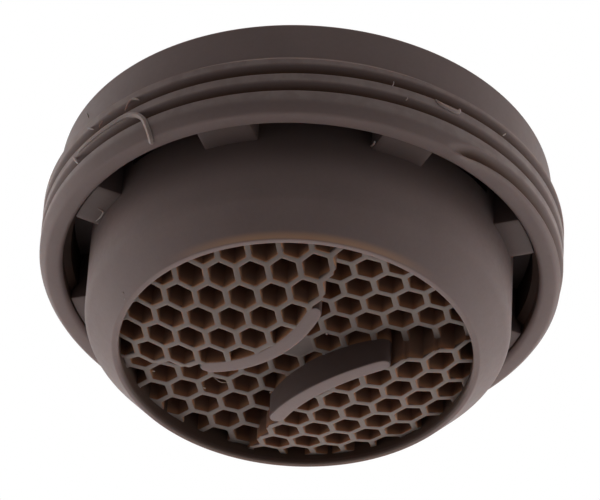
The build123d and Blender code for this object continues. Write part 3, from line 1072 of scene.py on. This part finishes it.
def rib_mesh(sizes):
    """Both curved ribs beside the slot, with their lower faces on the dome."""
    bm = bmesh.new()
    steps_along = 40
    steps_across = 4
    end_narrowing = 0.96
    below_top = 0.05 * MM
    middle = sizes.rib_radius - sizes.rib_width / 2
    for side in (-1, 1):
        centre = side * (sizes.slot_width / 2 + sizes.rib_radius)
        lower = []
        upper = []
        for step in range(steps_along + 1):
            turn = sizes.rib_half_span * math.sin(math.pi / 2 * (2 * step / steps_along - 1))
            to_end = (sizes.rib_half_span - abs(turn)) * middle
            narrowing = max(0.0, 1.0 - to_end / sizes.rib_end)
            width = sizes.rib_width * math.sqrt(1.0 - end_narrowing * narrowing**2)
            lower_row = []
            upper_row = []
            for across in range(steps_across + 1):
                radius = middle + width * (across / steps_across - 0.5)
                x = radius * math.sin(turn)
                y = centre - side * radius * math.cos(turn)
                height = sizes.dome_centre - math.sqrt(sizes.dome_radius**2 - x * x - y * y)
                lower_row.append(bm.verts.new((x, y, height)))
                upper_row.append(bm.verts.new((x, y, sizes.comb_top - below_top)))
            lower.append(lower_row)
            upper.append(upper_row)
        skin(bm, lower, full_turn=False)
        skin(bm, upper, full_turn=False)
        low = border_of(lower)
        high = border_of(upper)
        for index in range(len(low)):
            bm.faces.new((low[index - 1], low[index], high[index], high[index - 1]))
    return finish_mesh(bm, "Slot ribs")


class AERATOR_OT_honeycomb(bpy.types.Operator):
    """Build the honeycomb outlet and the two ribs of its coin slot"""

    bl_idname = "aerator.honeycomb"
    bl_label = "Honeycomb and ribs"

    def execute(self, context):
        scene = context.scene
        sizes = scene.aerator_sleeve
        colours = scene.aerator_colours
        into_sleeve = 0.15 * MM
        raised_share = 0.97
        # The cell walls get most of the painted shade
        material = comb_plastic("Comb plastic", colours.comb, colours, wall_shade=0.8)
        comb = new_object("honeycomb", bpy.data.meshes.new("Honeycomb"))
        modifier = comb.modifiers.new("Honeycomb", "NODES")
        modifier.node_group = honeycomb_tree()
        set_inputs(
            modifier,
            pitch=sizes.cell_pitch,
            wall=sizes.cell_wall,
            reach=sizes.bore_radius + into_sleeve,
            channel=sizes.channel_height,
            top=sizes.comb_top,
            dome_radius=sizes.dome_radius,
            dome_centre=sizes.dome_centre,
            rib_centre=sizes.slot_width / 2 + sizes.rib_radius,
            rib_middle=sizes.rib_radius - sizes.rib_width / 2,
            rib_end=math.sin(sizes.rib_half_span) * raised_share,
            material=material,
        )
        bevel(comb, sizes.cell_round)
        settle(comb)
        if not comb.data.polygons:
            raise RuntimeError("the honeycomb came out empty")
        mark_cell_depth(comb.data, sizes)
        place(comb, material, "sleeve_plastic", "outlet_sleeve")
        ribs = new_object("slot_ribs", rib_mesh(sizes))
        bevel(ribs, sizes.rib_round, segments=3)
        settle(ribs)
        mark_cell_depth(ribs.data, sizes)
        # The ribs' walls get the painted shade at full strength
        rib_plastic = comb_plastic("Rib plastic", colours.plastic, colours, wall_shade=1.0)
        place(ribs, rib_plastic, "sleeve_plastic", "outlet_sleeve")
        return {"FINISHED"}


# Wear: a strand's radius in mm and its path of (plan angle in degrees, height in mm) on the thread's crest
THREAD_BURRS = (
    (0.07, ((-108.5, 7.1), (-107.5, 6.85), (-106.5, 6.55), (-105.5, 6.25))),
    (0.12, ((-19.3, 7.5), (-18.7, 7.36), (-16.5, 7.28), (-14, 7.3), (-13.2, 7.42), (-13.1, 7.6))),
    (0.06, ((-90.3, 7.45), (-89.7, 7.8), (-88.5, 7.95), (-87.2, 7.8), (-86.4, 7.65))),
    (0.06, ((-103, 8.0), (-102, 7.85), (-100.5, 7.6))),
    (0.06, ((-98.5, 7.45), (-98.2, 7.55), (-97.5, 7.7))),
    (0.04, ((-29.6, 7.4), (-29.1, 7.55), (-29.2, 7.75))),
    (0.04, ((-26.3, 6.85), (-25.8, 6.95), (-25.9, 7.05))),
    (0.05, ((-0.5, 7.65), (0, 7.75), (0.5, 7.9))),
)
# The strand over the ring's foot and a curl, with (radius in mm, plan angle, height)
OTHER_RING_BURRS = (
    (0.13, ((12, -106, 6.98), (12, -105, 7.04), (12, -100, 7.05), (12, -95, 7.08), (12, -91, 7.1),
            (12, -88.5, 7.0), (12, -86.3, 6.75), (12, -84.8, 6.4), (12, -84, 6.05), (11.97, -83.6, 5.8),
            (11.88, -83.4, 5.6), (11.74, -83.4, 5.42), (11.6, -83.7, 5.33), (11.45, -84.1, 5.33),
            (11.35, -84.4, 5.33))),
    (0.05, ((11.38, -110.5, 10.3), (11.4, -109.2, 10.0), (11.39, -108.8, 9.75))),
)
# Burrs on two lugs and the taper, in the same way
SLEEVE_BURRS = (
    (0.04, ((10.15, -113.5, 5.55), (9.85, -113.8, 5.55), (9.8, -114.6, 5.55), (9.8, -116.6, 5.55),
            (9.9, -118.6, 5.55))),
    (0.07, ((9.9, -30.5, 5.55), (10.1, -29.8, 5.53), (10.3, -30.2, 5.55))),
    (0.05, ((8.62, -112.9, 1.24), (8.6, -113.1, 1.22), (8.57, -113.1, 1.19))),
    (0.04, ((8.45, -113.8, 1.05), (8.43, -114.1, 1.03), (8.41, -114.3, 1.0))),
)
# Hairs and burrs on the outlet, with (x, y) in mm on the channel's lower face
OUTLET_BURRS = (
    (0.018, ((-4.56, -0.48), (-4.6, -0.2), (-4.5, 0.05), (-4.25, 0.2))),
    (0.09, ((1.6, 0.2), (1.66, 0.21), (1.72, 0.22))),
    (0.06, ((0.5, 1.2), (0.56, 1.26), (0.6, 1.3))),
    (0.06, ((-5.46, -0.25), (-5.42, -0.2), (-5.4, -0.15))),
    (0.05, ((-6.46, -2.6), (-6.42, -2.54), (-6.4, -2.5))),
    (0.05, ((-1.9, 1.4), (-1.84, 1.42), (-1.78, 1.4))),
    (0.05, ((-3.3, 1.92), (-3.24, 1.9), (-3.2, 1.88))),
)


def turned_path(path):
    """Points from a path of (radius in mm, plan angle in degrees, height in mm)."""
    return [around_axis(radius * MM, math.radians(turn), height * MM) for radius, turn, height in path]


def burr_piece(name, burrs):
    """One mesh of thin strands, each a (radius in mm, points) pair, drawn out to points at its ends."""
    end_share = 0.35
    lines = bpy.data.curves.new(name, "CURVE")
    lines.dimensions = "3D"
    lines.bevel_depth = 1.0
    lines.bevel_resolution = 1
    lines.use_fill_caps = True
    for radius, points in burrs:
        line = lines.splines.new("NURBS")
        line.points.add(len(points) - 1)
        for index, point in enumerate(points):
            at_end = index in (0, len(points) - 1)
            line.points[index].co = (*point, 1.0)
            line.points[index].radius = radius * MM * (end_share if at_end else 1.0)
        line.order_u = 3
        line.use_endpoint_u = True
        line.resolution_u = 6
    drawn = new_object(name + "_lines", lines)
    graph = bpy.context.evaluated_depsgraph_get()
    mesh = bpy.data.meshes.new_from_object(drawn.evaluated_get(graph))
    bpy.data.objects.remove(drawn)
    bm = bmesh.new()
    bm.from_mesh(mesh)
    return new_object(name, finish_mesh(bm, name))


class AERATOR_OT_burrs(bpy.types.Operator):
    """Add the torn strands and burrs on the thread, the lugs and the outlet"""

    bl_idname = "aerator.burrs"
    bl_label = "Strands and burrs"

    def execute(self, context):
        ring = context.scene.aerator_ring
        sleeve = context.scene.aerator_sleeve
        material = torn_plastic(context.scene.aerator_colours)
        on_ring = []
        for radius, path in THREAD_BURRS:
            on_crest = [(crest_at(ring, height * MM) / MM, turn, height) for turn, height in path]
            on_ring.append((radius, turned_path(on_crest)))
        on_ring += [(radius, turned_path(path)) for radius, path in OTHER_RING_BURRS]
        place(burr_piece("ring_burrs", on_ring), material, "ring_plastic")
        on_sleeve = [(radius, turned_path(path)) for radius, path in SLEEVE_BURRS]
        for radius, path in OUTLET_BURRS:
            on_sleeve.append((radius, [Vector((x * MM, y * MM, sleeve.channel_height)) for x, y in path]))
        place(burr_piece("sleeve_burrs", on_sleeve), material, "sleeve_plastic")
        return {"FINISHED"}


# Pieces seen from the inlet
def softened_copy(name, node, rounding):
    """A copy of a CAD node with merged faces and rounded edges."""
    bm = bmesh.new()
    bm.from_mesh(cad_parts[node].data)
    bmesh.ops.remove_doubles(bm, verts=bm.verts, dist=CAD_MERGE_DISTANCE)
    bmesh.ops.dissolve_limit(bm, angle_limit=math.radians(1), verts=bm.verts, edges=bm.edges)
    piece = new_object(name, finish_mesh(bm, name))
    bevel(piece, rounding)
    settle(piece)
    return piece


class AERATOR_OT_inlet_pieces(bpy.types.Operator):
    """Finish the filter, the seals and the pieces inside"""

    bl_idname = "aerator.inlet_pieces"
    bl_label = "Filter, seals and inner pieces"

    def execute(self, context):
        colours = context.scene.aerator_colours
        pale = plain_plastic("Filter plastic", colours.filter, gloss=0.45, specular=0.4)
        inner = plain_plastic("Insert plastic", colours.insert, gloss=0.5, specular=0.35)
        rubber = plain_plastic("Seal rubber", colours.rubber, gloss=0.62, specular=0.3)
        strainer = softened_copy("filter_dome", "inlet_filter", 0.05 * MM)
        place(strainer, pale, "filter_plastic", "inlet_filter")
        washer = softened_copy("washer", "seal_washer", 0.12 * MM)
        place(washer, rubber, "seal_rubber", "seal_washer")
        finishes = {
            "regulator_o_ring": rubber,
            "regulator_body": inner,
            "jet_plate": inner,
            "upper_mixing_grid": inner,
            "lower_mixing_grid": inner,
        }
        for node, material in finishes.items():
            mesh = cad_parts[node].data
            mesh.materials.clear()
            mesh.materials.append(material)
        return {"FINISHED"}


# Stage
CAMERA_DISTANCE = 246.25 * MM
CAMERA_ELEVATION = math.radians(-39.07)
CAMERA_AZIMUTH = math.radians(43.4)
CAMERA_ROLL = math.radians(3.52)
CAMERA_RIGHT = 0.196 * MM
CAMERA_UP = 4.802 * MM
CAMERA_LENS = 326.76
FLOOR_RADIUS = 0.6
FLOOR_FADE_START = 0.02
FLOOR_FADE_END = 0.07
LAMP_SPOT = Vector((0, 0, 0.35))
LAMP_AIM = Vector((0, 0, 6 * MM))
LAMP_SIZE = 0.12
LAMP_POWER = 0.3
WHITE = (1.0, 1.0, 1.0, 1.0)
FAR_LEFT_LIGHT = 4.4
FAR_RIGHT_LIGHT = 3.7
FAR_BELOW_LIGHT = 0.9
NEAR_ABOVE_LIGHT = 0.55
NEAR_LEFT_LIGHT = 0.1
NEAR_RIGHT_LIGHT = 0.12
LEFT_LIGHT = 0.4
LEFT_BELOW_LIGHT = 0.1
RIGHT_LIGHT = 0.6
RIGHT_BELOW_LIGHT = 0.3
BELOW_LIGHT = 0.06


def near_direction():
    """Level direction from the part towards the camera."""
    return Vector((math.sin(CAMERA_AZIMUTH), -math.cos(CAMERA_AZIMUTH), 0.0))


def right_direction():
    """Level direction to the camera's right."""
    return Vector((math.cos(CAMERA_AZIMUTH), math.sin(CAMERA_AZIMUTH), 0.0))


def place_camera(scene, rim_height):
    camera = bpy.data.objects.new("camera", bpy.data.cameras.new("camera"))
    scene.collection.objects.link(camera)
    level = math.cos(CAMERA_ELEVATION)
    back = near_direction() * level + Vector((0, 0, math.sin(CAMERA_ELEVATION)))
    level_right = right_direction()
    level_up = back.cross(level_right)
    right = level_right * math.cos(CAMERA_ROLL) + level_up * math.sin(CAMERA_ROLL)
    up = level_up * math.cos(CAMERA_ROLL) - level_right * math.sin(CAMERA_ROLL)
    spot = Vector((0, 0, rim_height)) + back * CAMERA_DISTANCE + right * CAMERA_RIGHT + up * CAMERA_UP
    turned = Matrix((right, up, back)).transposed().to_4x4()
    camera.matrix_world = Matrix.Translation(spot) @ turned
    camera.data.lens = CAMERA_LENS
    camera.data.sensor_width = 36.0
    camera.data.clip_start = 0.01
    camera.data.clip_end = 10.0
    scene.camera = camera


def floor_material(colours):
    """Pale floor that only shows from above, and fades into the white surroundings."""
    material, tree, shader = new_material("Pale floor")
    shader.inputs["Base Color"].default_value = tuple(colours.floor)
    shader.inputs["Roughness"].default_value = 0.9
    shader.inputs["Specular IOR Level"].default_value = 0.0
    far = remap(tree, vector_length(tree, object_place(tree)), FLOOR_FADE_START, FLOOR_FADE_END)
    glow = add_node(tree, "ShaderNodeEmission", {"Color": WHITE, "Strength": 1.0}).outputs[0]
    faded = add_node(tree, "ShaderNodeMixShader", {0: far, 1: shader.outputs[0], 2: glow}).outputs[0]
    seen = add_node(tree, "ShaderNodeLightPath").outputs["Is Camera Ray"]
    behind = add_node(tree, "ShaderNodeNewGeometry").outputs["Backfacing"]
    shown = product(tree, seen, calculate(tree, "SUBTRACT", 1.0, behind))
    clear = add_node(tree, "ShaderNodeBsdfTransparent").outputs[0]
    whole = add_node(tree, "ShaderNodeMixShader", {0: shown, 1: clear, 2: faded}).outputs[0]
    tree.links.new(whole, tree.nodes["Material Output"].inputs["Surface"])
    return material


def place_floor(colours):
    bm = bmesh.new()
    bmesh.ops.create_circle(bm, cap_ends=True, segments=96, radius=FLOOR_RADIUS)
    for face in bm.faces:
        face.normal_update()
        if face.normal.z < 0:
            face.normal_flip()
    mesh = bpy.data.meshes.new("floor")
    bm.to_mesh(mesh)
    bm.free()
    floor = new_object("floor", mesh)
    floor.data.materials.append(floor_material(colours))


def place_world(scene):
    """White backdrop, light mostly from both sides behind the part, and white glints from low behind it."""
    world = bpy.data.worlds.new("Studio")
    world.use_nodes = True
    scene.world = world
    tree = world.node_tree
    way = add_node(tree, "ShaderNodeTexCoord").outputs["Generated"]
    near = one_side(tree, way, near_direction())
    far = one_side(tree, way, -near_direction())
    right = one_side(tree, way, right_direction())
    left = one_side(tree, way, -right_direction())
    above = one_side(tree, way, Vector((0, 0, 1)))
    below = one_side(tree, way, Vector((0, 0, -1)))
    soft_lights = (
        (far, left, FAR_LEFT_LIGHT),
        (far, right, FAR_RIGHT_LIGHT),
        (far, below, FAR_BELOW_LIGHT),
        (near, above, NEAR_ABOVE_LIGHT),
        (near, left, NEAR_LEFT_LIGHT),
        (near, right, NEAR_RIGHT_LIGHT),
        (left, left, LEFT_LIGHT),
        (left, below, LEFT_BELOW_LIGHT),
        (right, right, RIGHT_LIGHT),
        (right, below, RIGHT_BELOW_LIGHT),
        (below, below, BELOW_LIGHT),
    )
    light = 0.0
    for first, second, strength in soft_lights:
        light = calculate(tree, "MULTIPLY_ADD", product(tree, first, second), strength, light)
    path = add_node(tree, "ShaderNodeLightPath").outputs
    behind = remap(tree, far, 0.0, 0.2)
    low = remap(tree, above, 0.76, 0.66)
    mirrored = product(tree, path["Is Glossy Ray"], behind, low)
    seen = calculate(tree, "MAXIMUM", path["Is Camera Ray"], path["Is Transmission Ray"])
    seen = calculate(tree, "MAXIMUM", seen, mirrored)
    strength = add_node(tree, "ShaderNodeMix", {0: seen, 2: light, 3: 1.0}, data_type="FLOAT").outputs[0]
    background = tree.nodes["Background"]
    background.inputs["Color"].default_value = WHITE
    tree.links.new(strength, background.inputs["Strength"])


def place_lamp(scene):
    """A soft disk lamp above the part, without a highlight of its own."""
    data = bpy.data.lights.new("overhead lamp", "AREA")
    data.shape = "DISK"
    data.size = LAMP_SIZE
    data.energy = LAMP_POWER
    lamp = bpy.data.objects.new("overhead lamp", data)
    scene.collection.objects.link(lamp)
    lamp.visible_glossy = False
    lamp.location = LAMP_SPOT
    lamp.rotation_euler = (LAMP_AIM - LAMP_SPOT).to_track_quat("-Z", "Y").to_euler()


class AERATOR_OT_stage(bpy.types.Operator):
    """Set up floor, light and camera"""

    bl_idname = "aerator.stage"
    bl_label = "Stage"

    def execute(self, context):
        scene = context.scene
        scene.view_settings.view_transform = "Standard"
        place_floor(scene.aerator_colours)
        place_world(scene)
        place_lamp(scene)
        place_camera(scene, scene.aerator_sleeve.rim_height)
        return {"FINISHED"}


class AERATOR_PT_sidebar(bpy.types.Panel):
    """Buttons for the aerator's pieces"""

    bl_idname = "AERATOR_PT_sidebar"
    bl_label = "Tap aerator"
    bl_space_type = "VIEW_3D"
    bl_region_type = "UI"
    bl_category = "Aerator"

    def draw(self, context):
        for operator in OPERATORS:
            self.layout.operator(operator.bl_idname)


GROUPS = {
    "aerator_ring": AeratorRingSizes,
    "aerator_sleeve": AeratorSleeveSizes,
    "aerator_colours": AeratorColours,
}
OPERATORS = (
    AERATOR_OT_threaded_ring,
    AERATOR_OT_sleeve_wall,
    AERATOR_OT_honeycomb,
    AERATOR_OT_burrs,
    AERATOR_OT_inlet_pieces,
    AERATOR_OT_stage,
)


def register():
    for name, group in GROUPS.items():
        bpy.utils.register_class(group)
        setattr(bpy.types.Scene, name, PointerProperty(type=group))
    for operator in OPERATORS:
        bpy.utils.register_class(operator)
    bpy.utils.register_class(AERATOR_PT_sidebar)


def unregister():
    bpy.utils.unregister_class(AERATOR_PT_sidebar)
    for operator in reversed(OPERATORS):
        bpy.utils.unregister_class(operator)
    for name, group in GROUPS.items():
        delattr(bpy.types.Scene, name)
        bpy.utils.unregister_class(group)


def main():
    register()
    bpy.ops.aerator.threaded_ring()
    bpy.ops.aerator.sleeve_wall()
    bpy.ops.aerator.honeycomb()
    bpy.ops.aerator.burrs()
    bpy.ops.aerator.inlet_pieces()
    bpy.ops.aerator.stage()


if __name__ == "__main__":
    main()
